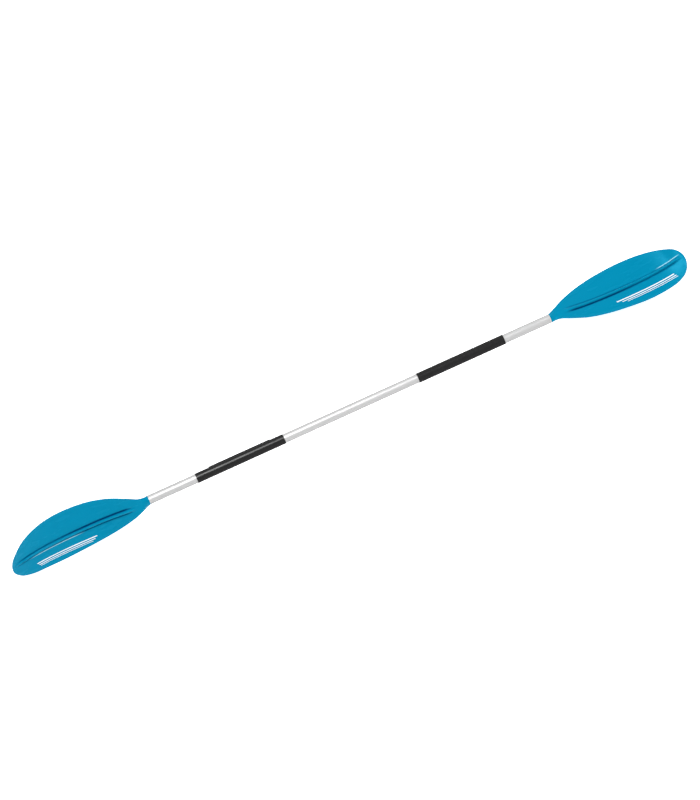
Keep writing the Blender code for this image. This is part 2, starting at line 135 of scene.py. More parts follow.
FLOAT_PLUG_R = 12.4 * MM
FLOAT_PLUG_LENGTH = 32 * MM
LEFT_FLOAT_PLUG_X = -175 * MM
RIGHT_FLOAT_PLUG_X = 110 * MM
END_PLUG_FLANGE = 2 * MM
END_PLUG_STEM = 12 * MM
END_PLUG_R = SPIGOT_BORE_R - GAP

# The blade's two edges in millimetres: distance from the neck, across the blade, and towards the power
# face. Both start on the shaft's sides and meet at the tip.
UPPER_EDGE = (
    (0, 14, 0), (12, 17.4, 4), (30, 24, 8.5), (60, 39.5, 5.5), (110, 60.5, -4), (170, 75.5, -9.5),
    (240, 82, -9.5), (300, 79.5, -5), (350, 69, 3.5), (390, 52.5, 14), (420, 31.5, 26), (435, 15, 28.5),
    (442.9, -2.5, 27), (444.7, -16.5, 23.5),
)
LOWER_EDGE = (
    (0, -14, 0), (12, -16.6, 4), (30, -23, 9), (60, -36, 6), (110, -52, -3), (170, -63, -9.5),
    (240, -70.5, -13), (300, -74, -13.5), (350, -72.5, -10.5), (390, -68.6, -4), (420, -58, 3.8),
    (435, -44.5, 10.5), (442.9, -30, 17.5), (444.7, -16.5, 23.5),
)
SECTIONS_PER_SPAN = 14
TIP_SECTIONS = (0.05, 0.02, 0.006)
PLATE_THICKNESS = 3.4 * MM
PLATE_GROWTH_LENGTH = 20 * MM
EDGE_ROUND = 1.7 * MM
RIB_HEIGHT = 5.2 * MM
RIB_START = (36 * MM, 84 * MM)
RIB_END = (400 * MM, 440 * MM)
RIB_OFFSETS = (-2 * MM, -6 * MM)
RIB_DRIFT_LENGTH = 40 * MM
# The rib stays this share of the blade's width away from both edges.
RIB_MARGIN = 0.35
RIB_HALF_WIDTHS = (7 * MM, 4.6 * MM)
GROOVE_START = (38 * MM, 74 * MM)
GROOVE_DEPTH = 2 * MM
GROOVE_THINNING = (180 * MM, 330 * MM)
GROOVE_THINNING_SHARE = 0.25
# Where the shade painted into the creases thins out towards the tip, and by how much.
CREASE_SHADE_THINNING = (190 * MM, 330 * MM)
CREASE_SHADE_THINNING_SHARE = 0.55
GROOVE_SPREADS = (1.2 * MM, 2.1 * MM)
# How far the painted crease shade spreads up the rib and outward.
CREASE_SHADE_SPREADS = (1.8 * MM, 3.4 * MM)
FOOT_WIDTH = 6.5 * MM
# A highlight is painted pale on the lip outside one crease of each blade: the blade's side, then the
# crease's side of the rib and where the painted highlight fades in and out.
PAINTED_LIP_HIGHLIGHTS = {
    -1: (-1, (205 * MM, 245 * MM), (350 * MM, 395 * MM)),
    1: (1, (350 * MM, 375 * MM), (420 * MM, 436 * MM)),
}
LIP_FROM_FOOT = 4.2 * MM
LIP_SPREAD = 1 * MM
SPINE_FADE_END = 230 * MM
SPINE_END_HALF_WIDTH = 6 * MM
SPINE_POWER_LENGTH = 70 * MM
NECK_FADE = (-4 * MM, 24 * MM)
ACROSS_STEPS = {"edge": 6, "plate": 24, "foot": 14, "rib": 20}
EDGE_GATHER = 1.8
EVEN_SPACING_LENGTH = 30 * MM
EDGE_WEAR_WIDTH = 1.4 * MM
EDGE_WEAR_START = (20 * MM, 60 * MM)
# How far beside the front the back lies in the UV map, in metres.
BACK_UV_SHIFT = 0.25

# The printed trim's bars in metres: middle across the blade, width, and start and end from the neck.
TRIM_BARS = (
    (-0.0385, 0.0032, 0.180, 0.372),
    (-0.0452, 0.0022, 0.192, 0.372),
    (-0.0505, 0.0014, 0.204, 0.372),
)
TRIM_SHIFTS = {1: (0, 0), -1: (24 * MM, -4 * MM)}
TRIM_SLANT = 0.6
TRIM_SOFT = 0.25 * MM

CAMERA_AZIMUTH = math.radians(5.5)
CAMERA_ELEVATION = math.radians(60)
CAMERA_ROLL = math.radians(24.35)
CAMERA_DISTANCE = 7.5
CAMERA_LENS = 130.15
SENSOR_WIDTH = 36
AIM_OFFSET = (-0.0032, 0.0250)
FLOOR_SIZE = 25
FLOOR_GLOW = 0.8
ROOM_GLOW = 0.5
# Each lamp's place and size in metres, and its power in watts.
DIFFUSE_LAMPS = {
    "key": ((0.05, 0.05, 3.6), (1.6, 1.2), 95),
    "left_bank": ((-4.2, -0.6, 3.0), (2, 2), 25),
    "right_bank": ((4.2, 0.6, 3.0), (2, 2), 35),
}
GLINT_STRIP = ((-0.3, 0.0, 3.6), (2.0, 0.6), 38)

BLADE_PLASTIC = (0.0, 0.223, 0.383)
BLADE_CLOUD = (0.0, 0.19, 0.36)
BLADE_SPECULAR_TINT = (0.08, 0.7, 1.0, 1.0)
BLADE_SCUFF = (0.25, 0.5, 0.6)
# The colour of the shade painted into the creases.
CREASE_SHADE_COLOR = (0.0, 0.03, 0.13)
# The colour of the highlight painted on one lip.
LIP_HIGHLIGHT_COLOR = (0.5, 0.86, 0.95)
# How strongly shade is painted into each blade's upper and lower crease.
CREASE_SHADE_STRENGTHS = {1: (0.4, 0.9), -1: (1.0, 0.75)}
PRINT_WHITE = (0.86, 0.88, 0.88)
ALUMINIUM = (0.7, 0.7, 0.7)
ALUMINIUM_LINES = (0.64, 0.64, 0.642)
ALUMINIUM_SCRATCH = (0.58, 0.58, 0.585)
RIVET_BRIGHT = (0.82, 0.82, 0.83)
RIVET_DULL = (0.66, 0.66, 0.67)
RUBBER_BLACK = (0.008, 0.008, 0.0084)
RUBBER_RUBBED = (0.013, 0.013, 0.0134)
SEAL_BLACK = (0.016, 0.016, 0.016)
SEAL_DUST = (0.04, 0.04, 0.042)
FERRULE_BLACK = (0.028, 0.028, 0.03)
FERRULE_SPECKLE = (0.06, 0.06, 0.062)
FERRULE_RUBBED = (0.12, 0.12, 0.125)
STEEL = (0.6, 0.6, 0.61)
STEEL_GRAIN = (0.5, 0.5, 0.51)
FOAM_WHITE = (0.8, 0.8, 0.77)
FOAM_WALL = (0.6, 0.6, 0.57)
STRIP_BLACK = (0.03, 0.03, 0.03)
STRIP_GRAIN = (0.05, 0.05, 0.05)
FLOOR_WHITE = (0.93, 0.93, 0.93, 1)


def smooth(start, end, value):
    """0 before start, 1 after end, and an S-curve between them."""
    t = min(max((value - start) / (end - start), 0), 1)
    return t * t * (3 - 2 * t)


def mix(first, second, share):
    return first + (second - first) * share


# ---------------------------------------------------------------- pieces


def new_piece(name, mesh, matrix, body, material, stands_for=(), sharp=35):
    """A visible piece, moved from its half's frame to its place. It rides on a body."""
    mesh.transform(matrix)
    mesh.shade_smooth()
    mesh.set_sharp_from_angle(angle=math.radians(sharp))
    piece = bpy.data.objects.new(name, mesh)
    bpy.context.scene.collection.objects.link(piece)
    mesh.materials.append(material)
    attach(piece, body)
    if stands_for:
        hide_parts(*stands_for)
    return piece


def rounded(profile, radius, steps=4):
    """The closed profile with each corner replaced by a small curve.

    A point beside each curve on a long side keeps that side's shading straight.
    """
    points = []
    count = len(profile)
    for i, corner in enumerate(profile):
        corner = Vector(corner)
        before = Vector(profile[i - 1]) - corner
        after = Vector(profile[(i + 1) % count]) - corner
        start = corner + before.normalized() * min(radius, before.length * 0.45)
        end = corner + after.normalized() * min(radius, after.length * 0.45)
        if before.length > LONG_SIDE * radius:
            points.append(corner + before.normalized() * SIDE_POINT * radius)
        for step in range(steps + 1):
            t = step / steps
            points.append(start * (1 - t) ** 2 + corner * 2 * t * (1 - t) + end * t * t)
        if after.length > LONG_SIDE * radius:
            points.append(corner + after.normalized() * SIDE_POINT * radius)
    return points


def lathe(name, profile, sides):
    """A closed (along, radius) profile turned about the X axis. Points on the axis become one point."""
    form = bmesh.new()
    rings = []
    for along_axis, radius in profile:
        radius = max(radius, 0)
        ring = [
            form.verts.new((along_axis, radius * math.cos(a), radius * math.sin(a)))
            for a in (2 * math.pi * i / sides for i in range(sides))
        ]
        rings.append(ring)
    for first, second in zip(rings, rings[1:] + rings[:1]):
        for i in range(sides):
            j = (i + 1) % sides
            form.faces.new((first[i], first[j], second[j], second[i]))
    bmesh.ops.remove_doubles(form, verts=form.verts, dist=1e-7)
    bmesh.ops.dissolve_degenerate(form, edges=form.edges, dist=1e-8)
    return finished(name, form)


def finished(name, form):
    bmesh.ops.recalc_face_normals(form, faces=form.faces)
    mesh = bpy.data.meshes.new(name)
    form.to_mesh(mesh)
    form.free()
    return mesh


def radial_frame(x, angle):
    """A frame whose X axis points out of the shaft at this angle from +Y towards +Z."""
    out = Vector((0, math.cos(angle), math.sin(angle)))
    side = out.cross(Vector((1, 0, 0)))
    axes = Matrix((out, Vector((1, 0, 0)), side)).transposed().to_4x4()
    return Matrix.Translation((x, 0, 0)) @ axes


def cut(mesh, cutters):
    """The mesh with each (cutter mesh, matrix) taken out of it."""
    body = bpy.data.objects.new("cut_body", mesh)
    bpy.context.scene.collection.objects.link(body)
    tools = []
    for cutter, matrix in cutters:
        cutter.transform(matrix)
        tool = bpy.data.objects.new("cut_tool", cutter)
        bpy.context.scene.collection.objects.link(tool)
        tools.append(tool)
        boolean = body.modifiers.new("cut", "BOOLEAN")
        boolean.operation = "DIFFERENCE"
        boolean.solver = "EXACT"
        boolean.object = tool
    graph = bpy.context.evaluated_depsgraph_get()
    result = bpy.data.meshes.new_from_object(body.evaluated_get(graph))
    result.name = mesh.name
    for obj in [body] + tools:
        bpy.data.objects.remove(obj)
    return result


def hole_cutter(x, angle, radius, inner, outer):
    """A bar that drills a round hole through the shaft's wall."""
    bar = lathe("hole", [(inner, 0), (outer, 0), (outer, radius), (inner, radius)], 40)
    return bar, radial_frame(x, angle)


# ---------------------------------------------------------------- blades


def along(knots, t):
    """The point at parameter t of a Catmull-Rom curve through the knots, which lie at t = 0, 1, 2..."""
    i = min(int(t), len(knots) - 2)
    f = t - i
    before = knots[max(i - 1, 0)]
    after = knots[min(i + 2, len(knots) - 1)]
    point = []
    for a, b, c, d in zip(before, knots[i], knots[i + 1], after):
        slope_b = (c - a) / 2
        slope_c = (d - b) / 2
        point.append(
            b
            + slope_b * f
            + (3 * (c - b) - 2 * slope_b - slope_c) * f * f
            + (2 * (b - c) + slope_b + slope_c) * f ** 3
        )
    return Vector(point) * MM


def blade_stations():
    """Curve parameters from the neck to the tip, closer together where the tip rounds over."""
    last = len(UPPER_EDGE) - 1
    even = [i / SECTIONS_PER_SPAN for i in range(last * SECTIONS_PER_SPAN)]
    return even + [last - step for step in TIP_SECTIONS]


def rib_centre(u):
    near, far = RIB_OFFSETS
    return smooth(0, RIB_DRIFT_LENGTH, u) * mix(near, far, u / BLADE_LENGTH)


def rib_half_width(u):
    near, far = RIB_HALF_WIDTHS
    return mix(near, far, u / BLADE_LENGTH)


def stretch(start, end, steps, power=1.0):
    """Positions from start towards end, leaving the end out. A power over 1 gathers them at the start."""
    return [mix(start, end, (i / steps) ** power) for i in range(steps)]


def across(lower, upper, u):
    """Positions across the blade from edge to edge, closest together at the edges and at the rib's feet."""
    width = upper - lower
    steps = ACROSS_STEPS
    rib = min(max(rib_centre(u), lower + RIB_MARGIN * width), upper - RIB_MARGIN * width)
    half = min(rib_half_width(u), width / 6)
    edge = min(EDGE_ROUND, width / 10)
    foot = min(FOOT_WIDTH, width / 9)
    flat = (
        stretch(lower, lower + edge, steps["edge"], EDGE_GATHER)
        + stretch(lower + edge, rib - half - foot, steps["plate"])
        + stretch(rib - half - foot, rib - half, steps["foot"])
        + stretch(rib - half, rib + half, steps["rib"])
        + stretch(rib + half, rib + half + foot, steps["foot"])
        + stretch(rib + half + foot, upper - edge, steps["plate"])
        + [upper - (y - lower) for y in reversed(stretch(lower, lower + edge, steps["edge"], EDGE_GATHER))]
    )
    count = len(flat) - 1
    even = [lower + width / 2 * (1 - math.cos(math.pi * i / count)) for i in range(count + 1)]
    share = smooth(0, EVEN_SPACING_LENGTH, u)
    return [mix(a, b, share) for a, b in zip(even, flat)]


def rib_strength(u):
    return smooth(*RIB_START, u) * (1 - smooth(*RIB_END, u))


def groove_strength(u):
    """The two creases beside the rib start past the neck and run out near the tip."""
    thinning = 1 - GROOVE_THINNING_SHARE * smooth(*GROOVE_THINNING, u)
    return smooth(*GROOVE_START, u) * thinning * rib_strength(u)


def near_foot(u, from_rib, spreads):
    """1 along the foot of the rib's side, fading over the first spread up the rib and the second outward."""
    from_foot = abs(from_rib) - rib_half_width(u)
    inner, outer = spreads
    return math.exp(-(from_foot / (inner if from_foot < 0 else outer)) ** 2)


def blade_row(t):
    """One section: each point's place, distance from an edge, offset from the rib, and if it is in front."""
    lower = along(LOWER_EDGE, t)
    upper = along(UPPER_EDGE, t)
    u = (lower.x + upper.x) / 2
    width = upper.y - lower.y
    thickness = PLATE_THICKNESS * smooth(0, PLATE_GROWTH_LENGTH, u)
    neck = (1 - smooth(*NECK_FADE, u)) / (1 - smooth(*NECK_FADE, 0))
    spine = max(1 - u / SPINE_FADE_END, 0) * (TUBE_R + (lower.z + upper.z) / 2)
    spine_half = mix(TUBE_R, SPINE_END_HALF_WIDTH, min(u / SPINE_FADE_END, 1))
    spine_power = 0.5 + smooth(0, SPINE_POWER_LENGTH, u)
    front, back = [], []
    for y in across(lower.y, upper.y, u):
        share = (y - lower.y) / width
        chord = lower + (upper - lower) * share
        from_edge = min(y - lower.y, upper.y - y)
        rounding = math.sqrt(max(1 - max(1 - from_edge / EDGE_ROUND, 0) ** 2, 0))
        across_neck = max(1 - (2 * share - 1) ** 2, 0)
        from_rib = y - rib_centre(u)
        across_rib = min(abs(from_rib) / rib_half_width(u), 1)
        across_spine = max(1 - (from_rib / spine_half) ** 2, 0)
        groove = near_foot(u, from_rib, GROOVE_SPREADS) * groove_strength(u) * rounding
        half = thickness / 2 * rounding
        rib = RIB_HEIGHT * rib_strength(u) * (1 - across_rib ** 2)
        lift = half + neck * TUBE_R * math.sqrt(across_neck) + rib - GROOVE_DEPTH * groove
        drop = half + spine * across_spine ** spine_power
        front.append((chord + Vector((0, 0, lift)), from_edge, from_rib, True))
        back.append((chord - Vector((0, 0, drop)), from_edge, from_rib, False))
    return front + back[-2:0:-1]


def shank_ring(radius, u, count):
    """A round section with as many points as a blade section, starting at the lower edge."""
    angles = [2 * math.pi * i / count for i in range(count)]
    return [
        (Vector((u, -radius * math.cos(a), radius * math.sin(a))), TUBE_R, TUBE_R, False) for a in angles
    ]


def painted_crease_shade(u, from_rib):
    """How much shade is painted at this point of one of the creases, from 0 to 1."""
    thinning = 1 - CREASE_SHADE_THINNING_SHARE * smooth(*CREASE_SHADE_THINNING, u)
    return near_foot(u, from_rib, CREASE_SHADE_SPREADS) * smooth(*GROOVE_START, u) * thinning * rib_strength(u)


def lip_highlight_share(side, u, from_rib):
    """How much highlight is painted on the lip outside a crease, from 0 to 1."""
    crease_side, fade_in, fade_out = PAINTED_LIP_HIGHLIGHTS[side]
    from_lip = crease_side * from_rib - rib_half_width(u) - LIP_FROM_FOOT
    return math.exp(-(from_lip / LIP_SPREAD) ** 2) * smooth(*fade_in, u) * (1 - smooth(*fade_out, u))


def blade_mesh(name, side):
    """A loft from the shank through the neck to the tip. side is +1 for the right blade, -1 for the left.

    Attributes go to the material: how much shade is painted into the upper and the lower crease, how much
    highlight is painted on the lip beside one of them, how near the point is to an edge and whether it is on
    the front. The UV map is the distance from the neck and across, in metres, with the back laid out beside
    the front.
    """
    rows = [blade_row(t) for t in blade_stations()]
    count = len(rows[0])
    shank = [
        shank_ring(SHANK_R - SHANK_CHAMFER / 2, -SHANK_LENGTH, count),
        shank_ring(SHANK_R, -SHANK_LENGTH + SHANK_CHAMFER, count),
        shank_ring(SHANK_R, 0, count),
    ]
    rows = shank + rows
    tip = along(UPPER_EDGE, len(UPPER_EDGE) - 1)
    form = bmesh.new()
    upper_layer = form.verts.layers.float.new("upper_crease_shade")
    lower_layer = form.verts.layers.float.new("lower_crease_shade")
    lip_layer = form.verts.layers.float.new("painted_lip_highlight")
    edge_layer = form.verts.layers.float.new("edge")
    front_layer = form.verts.layers.float.new("front")
    rings = []
    for row in rows:
        ring = []
        for place, from_edge, from_rib, is_front in row:
            vert = form.verts.new((side * (NECK + place.x), place.y, place.z))
            # How much shade is painted into a crease here, on the front only.
            tone = painted_crease_shade(place.x, from_rib) if is_front else 0
            vert[upper_layer] = tone if from_rib > 0 else 0
            vert[lower_layer] = tone if from_rib <= 0 else 0
            # A pale highlight is painted on the lip beside one crease.
            vert[lip_layer] = lip_highlight_share(side, place.x, from_rib) if is_front else 0
            vert[edge_layer] = math.exp(-from_edge / EDGE_WEAR_WIDTH) * smooth(*EDGE_WEAR_START, place.x)
            vert[front_layer] = 1 if is_front else 0
            ring.append(vert)
        rings.append(ring)
    for inner, outer in zip(rings, rings[1:]):
        for i in range(count):
            j = (i + 1) % count
            form.faces.new((inner[i], inner[j], outer[j], outer[i]))
    end = form.verts.new((side * (NECK + tip.x), tip.y, tip.z))
    end[edge_layer] = 1
    for i in range(count):
        form.faces.new((rings[-1][i], rings[-1][(i + 1) % count], end))
    form.faces.new(rings[0])
    layer = form.loops.layers.uv.new("plan")
    for face in form.faces:
        back_shift = 0 if any(v[front_layer] > 0.5 for v in face.verts) else BACK_UV_SHIFT
        for loop in face.loops:
            place = loop.vert.co
            loop[layer].uv = (side * place.x - NECK, place.y + back_shift)
    return finished(name, form)


def add_blade(name, side, matrix, body, material):
    ends = sorted((side * (NECK - SHANK_LENGTH - MM), side * (NECK - SHANK_LENGTH + SHANK_HOLLOW_DEPTH)))
    hollow = lathe(
        "hollow", [(ends[0], 0), (ends[1], 0), (ends[1], SHANK_HOLLOW_R), (ends[0], SHANK_HOLLOW_R)], 48
    )
    cutters = [(hollow, Matrix.Identity(4))]
    for distance in BLADE_RIVETS_FROM_NECK:
        x = side * (NECK - distance)
        cutters.append(hole_cutter(x, BACK_ANGLE, RIVET_HOLE_R, BLADE_RIVET_TIP - GAP, TUBE_R + MM))
    mesh = cut(blade_mesh(name, side), cutters)
    return new_piece(f"{name}_moulding", mesh, matrix, body, material, [name], sharp=50)


# ---------------------------------------------------------------- shaft


def add_tube(name, side, matrix, body, material, holes):
    ends = sorted((side * GAP / 2, side * (NECK - GAP)))
    profile = [(ends[0], TUBE_R), (ends[1], TUBE_R), (ends[1], BORE_R), (ends[0], BORE_R)]
    mesh = cut(lathe(name, rounded(profile, TUBE_LIP, 3), TUBE_SIDES), holes)
    return new_piece(f"{name}_drawn", mesh, matrix, body, material, [name])


def blade_rivet_holes(side):
    return [
        hole_cutter(side * (NECK - distance), BACK_ANGLE, RIVET_HOLE_R, BORE_R - MM, TUBE_R + MM)
        for distance in BLADE_RIVETS_FROM_NECK
    ]


def polar_bar(angle, radius, offset, bar_radius):
    """The radius of a circle round the shaft, or of a bar's surface beside it where that is further out."""
    reach = bar_radius ** 2 - (offset * math.sin(angle)) ** 2
    if bar_radius <= 0 or reach <= 0 or math.cos(angle) < 0:
        return radius, -1
    return radius, offset * math.cos(angle) + math.sqrt(reach)


def soft_max(a, b, blend):
    """The larger of two values, with a fillet where they are within blend of each other."""
    share = min(max(0.5 + (b - a) / (2 * blend), 0), 1)
    return mix(a, b, share) + blend * share * (1 - share)


def bar_radius_at(x, radius, start, end):
    """A round-ended bar's radius at x."""
    beyond = max(start + radius - x, x - (end - radius), 0)
    return math.sqrt(max(radius ** 2 - beyond ** 2, 0))


def sleeve_mesh(name, stations, outer_radius, inner_radius, sides):
    """A sleeve whose two surfaces are given as radius(x, angle), closed at both ends."""
    form = bmesh.new()
    angles = [2 * math.pi * i / sides for i in range(sides)]
    rings = []
    for x, radius in [(x, outer_radius) for x in stations] + [(x, inner_radius) for x in reversed(stations)]:
        ring = []
        for a in angles:
            r = radius(x, a)
            ring.append(form.verts.new((x, r * math.cos(a), r * math.sin(a))))
        rings.append(ring)
    for first, second in zip(rings, rings[1:] + rings[:1]):
        for i in range(sides):
            j = (i + 1) % sides
            form.faces.new((first[i], first[j], second[j], second[i]))
    return finished(name, form)


def grip_stations(start, end):
    """Positions along a grip, closest together at its rounded ends."""
    lip = [GRIP_LIP * (1 - math.cos(math.pi / 2 * i / 6)) for i in range(7)]
    length = end - start
    middle = [start + length * i / 200 for i in range(1, 200)]
    return [start + d for d in lip] + middle + [end - d for d in reversed(lip)]


def lip_drop(x, start, end):
    """How far the rounded end of a grip lies below its full radius."""
    inside = min(x - start, end - x)
    short = max(GRIP_LIP - inside, 0)
    return GRIP_LIP - math.sqrt(max(GRIP_LIP ** 2 - short ** 2, 0))


def add_plain_grip(material):
    start, end = GRIP_INNER_END, GRIP_OUTER_END
    mesh = sleeve_mesh(
        "right_grip",
        grip_stations(start, end),
        lambda x, angle: GRIP_R - lip_drop(x, start, end),
        lambda x, angle: GRIP_BORE_R,
        GRIP_SIDES,
    )
    return new_piece(
        "right_grip_rubber", mesh, RIGHT_FRAME, "right_half", material, ["right_grip_sleeve"]
    )


def add_index_grip(material):
    """The left grip swells over the index strip, which the paddler's hand feels for."""
    start, end = -GRIP_OUTER_END, -GRIP_INNER_END

    def outer(x, angle):
        bar = bar_radius_at(x, INDEX_BUMP_R, -INDEX_OUTER_END, -INDEX_INNER_END)
        circle, swell = polar_bar(angle - INDEX_ANGLE, GRIP_R, INDEX_BUMP_OFFSET, bar)
        return soft_max(circle, swell, INDEX_FILLET) - lip_drop(x, start, end)

    def inner(x, angle):
        pocket_r = INDEX_STRIP_R + GAP
        bar = bar_radius_at(x, pocket_r, -INDEX_OUTER_END + MM, -INDEX_INNER_END - MM)
        return max(polar_bar(angle - INDEX_ANGLE, GRIP_BORE_R, INDEX_STRIP_OFFSET, bar))

    mesh = sleeve_mesh("left_grip", grip_stations(start, end), outer, inner, GRIP_SIDES)
    return new_piece(
        "left_grip_rubber", mesh, LEFT_FRAME, "left_half", material, ["left_grip_sleeve"]
    )


def add_float_plug(name, x, matrix, body, material):
    half = FLOAT_PLUG_LENGTH / 2
    profile = [(x - half, 0), (x + half, 0), (x + half, FLOAT_PLUG_R), (x - half, FLOAT_PLUG_R)]
    mesh = lathe(name, rounded(profile, 1.5 * MM), 72)
    return new_piece(f"{name}_foam", mesh, matrix, body, material, [name])


def add_rivet(name, x, angle, tip, matrix, body, material):
    """A blind rivet: a domed flange round the recess where its mandrel broke off."""
    base = TUBE_R + GAP
    dome = [
        (base + RIVET_HEAD_HEIGHT * (0.25 + 0.75 * math.cos(a)), RIVET_HEAD_R * math.sin(a))
        for a in (math.pi / 2 * i / 10 for i in range(4, 11))
    ]
    recess = base + RIVET_HEAD_HEIGHT - MANDREL_RECESS
    profile = (
        [(tip, 0), (recess, 0), (recess, MANDREL_R), (dome[0][0] - 0.06 * MM, MANDREL_R + 0.12 * MM)]
        + dome
        + [(base, RIVET_HEAD_R), (base, RIVET_STEM_R), (tip, RIVET_STEM_R)]
    )
    mesh = lathe(name, profile, 48)
    return new_piece(
        f"{name}_head", mesh, matrix @ radial_frame(x, angle), body, material, [name]
    )


# ---------------------------------------------------------------- ferrule


def add_spigot(material):
    groove = (-RING_GROOVE_START - RING_GROOVE_WIDTH, -RING_GROOVE_START)
    profile = [
        (-SPIGOT_DEEP_END, SPIGOT_R),
        (groove[0], SPIGOT_R),
        (groove[0], RING_GROOVE_R),
        (groove[1], RING_GROOVE_R),
        (groove[1], SPIGOT_R),
        (SPIGOT_FIXED_END, SPIGOT_R),
        (SPIGOT_FIXED_END, SPIGOT_BORE_R),
        (-SPIGOT_DEEP_END, SPIGOT_BORE_R),
    ]
    holes = [hole_cutter(BUTTON_HOLE_X, BUTTON_ANGLE, BUTTON_HOLE_R, SPIGOT_BORE_R - MM, TUBE_R)]
    for x in SPIGOT_RIVETS_X:
        holes.append(hole_cutter(x, SPIGOT_RIVET_ANGLE, RIVET_HOLE_R, SPIGOT_BORE_R - MM, TUBE_R))
    mesh = cut(lathe("spigot", rounded(profile, 0.35 * MM, 3), 128), holes)
    return new_piece(
        "ferrule_spigot_moulding", mesh, RIGHT_FRAME, "right_half", material,
        ["ferrule_spigot"],
    )


def add_end_plug(material):
    end = -SPIGOT_DEEP_END - GAP
    profile = [
        (end + END_PLUG_STEM, 0),
        (end + END_PLUG_STEM, END_PLUG_R),
        (end, END_PLUG_R),
        (end, SPIGOT_R),
        (end - END_PLUG_FLANGE, SPIGOT_R),
        (end - END_PLUG_FLANGE, SPIGOT_R * 0.62),
        (end - END_PLUG_FLANGE * 0.5, SPIGOT_R * 0.56),
        (end - END_PLUG_FLANGE * 0.5, 0),
    ]
    mesh = lathe("end_plug", rounded(profile, 0.5 * MM), 96)
    return new_piece(
        "spigot_end_plug_moulding", mesh, RIGHT_FRAME, "right_half", material,
        ["spigot_end_plug"],
    )


def add_o_ring(material):
    x = -RING_GROOVE_START - RING_GROOVE_WIDTH / 2
    profile = [
        (x + O_RING_MINOR_R * math.cos(a), O_RING_MAJOR_R + O_RING_MINOR_R * math.sin(a))
        for a in (2 * math.pi * i / 20 for i in range(20))
    ]
    mesh = lathe("o_ring", profile, 128)
    return new_piece(
        "ferrule_o_ring_seal", mesh, LEFT_FRAME, "ferrule_seal", material, ["ferrule_o_ring"]
    )


def leaf_mesh(name, sign):
    """A strip of spring steel from the apex of the clip's bend, round and along to its tip."""
    start = math.radians(4)
    turn = [start + (math.pi / 2 - start) * i / LEAF_BEND_STEPS for i in range(LEAF_BEND_STEPS + 1)]
    bend = [(-LEAF_BEND_R * math.cos(a), sign * LEAF_BEND_R * math.sin(a)) for a in turn]
    rise = BUTTON_X - LEAF_FLAT_BEFORE_BUTTON - LEAF_PIVOT_X
    tip = LEAF_TIP_X - LEAF_PIVOT_X
    slope = [(rise * i / 10, mix(LEAF_BEND_R, LEAF_SEAT, smooth(0, 1, i / 10)) * sign) for i in range(1, 11)]
    flat = [(mix(rise, tip, i / 5), sign * LEAF_SEAT) for i in range(1, 6)]
    form = bmesh.new()
    rows = []
    for x, z in bend + slope + flat:
        from_tip = tip - x
        half = LEAF_WIDTH / 2
        if from_tip < half:
            half = half * (0.55 + 0.45 * math.sqrt(1 - (1 - from_tip / half) ** 2))
        rows.append([form.verts.new((x, half * s, z)) for s in (-1, -0.5, 0, 0.5, 1)])
    for first, second in zip(rows, rows[1:]):
        for i in range(4):
            form.faces.new((first[i], second[i], second[i + 1], first[i + 1]))
    return finished(name, form)


def add_leaf(name, sign, body, material, stands_for):
    matrix = RIGHT_FRAME @ Matrix.Translation((LEAF_PIVOT_X, 0, 0)) @ Matrix.Rotation(
        BUTTON_ANGLE - math.pi / 2, 4, "X"
    )
    leaf = new_piece(name, leaf_mesh(name, sign), matrix, body, material, stands_for)
    sheet = leaf.modifiers.new("sheet", "SOLIDIFY")
    sheet.thickness = LEAF_THICKNESS
    sheet.offset = 0
    edges = leaf.modifiers.new("edges", "BEVEL")
    edges.width = 0.12 * MM
    edges.segments = 2
    return leaf


def add_snap_button(material):
    """The round-topped button, pressed out through the spigot and one of the left tube's holes."""
    seat = LEAF_SEAT + LEAF_THICKNESS / 2
    profile = [(seat, 0), (BUTTON_TOP, 0), (BUTTON_TOP, BUTTON_R), (seat, BUTTON_R)]
    mesh = lathe("snap_button", rounded(profile, 1 * MM, 6), 64)
    matrix = RIGHT_FRAME @ radial_frame(BUTTON_X, BUTTON_ANGLE)
    return new_piece(
        "snap_button_head", mesh, matrix, "snap_button", material, ["snap_button_leaf"]
    )


# ---------------------------------------------------------------- materials


def wire(tree, socket, value):
    if isinstance(value, bpy.types.NodeSocket):
        tree.links.new(value, socket)
    elif isinstance(value, tuple) and len(value) == 3 and socket.type == "RGBA":
        socket.default_value = (*value, 1)
    else:
        socket.default_value = value


def node(tree, kind, inputs=None, output=0, **settings):
    """Adds a shader node, sets or links its inputs, and gives back one of its outputs."""
    made = tree.nodes.new(f"ShaderNode{kind}")
    for name, value in settings.items():
        setattr(made, name, value)
    for key, value in (inputs or {}).items():
        wire(tree, made.inputs[key], value)
    return made.outputs[output]


def math_node(tree, operation, first, second=0.0):
    return node(tree, "Math", {0: first, 1: second}, operation=operation)


def blend_color(tree, share, first, second, mode="MIX"):
    made = tree.nodes.new("ShaderNodeMix")
    made.data_type = "RGBA"
    made.blend_type = mode
    wire(tree, made.inputs[0], share)
    wire(tree, made.inputs[6], first)
    wire(tree, made.inputs[7], second)
    return made.outputs[2]


def noise(tree, vector, scale, detail=3.0, stretch_by=(1, 1, 1)):
    placed = node(tree, "Mapping", {"Vector": vector, "Scale": stretch_by})
    return node(tree, "TexNoise", {"Vector": placed, "Scale": scale, "Detail": detail})


def remap(tree, value, low, high, to_low, to_high):
    return node(
        tree,
        "MapRange",
        {"Value": value, "From Min": low, "From Max": high, "To Min": to_low, "To Max": to_high},
    )


def bump(tree, height, distance, strength=1.0, before=None):
    inputs = {"Height": height, "Distance": distance, "Strength": strength}
    if before is not None:
        inputs["Normal"] = before
    return node(tree, "Bump", inputs)


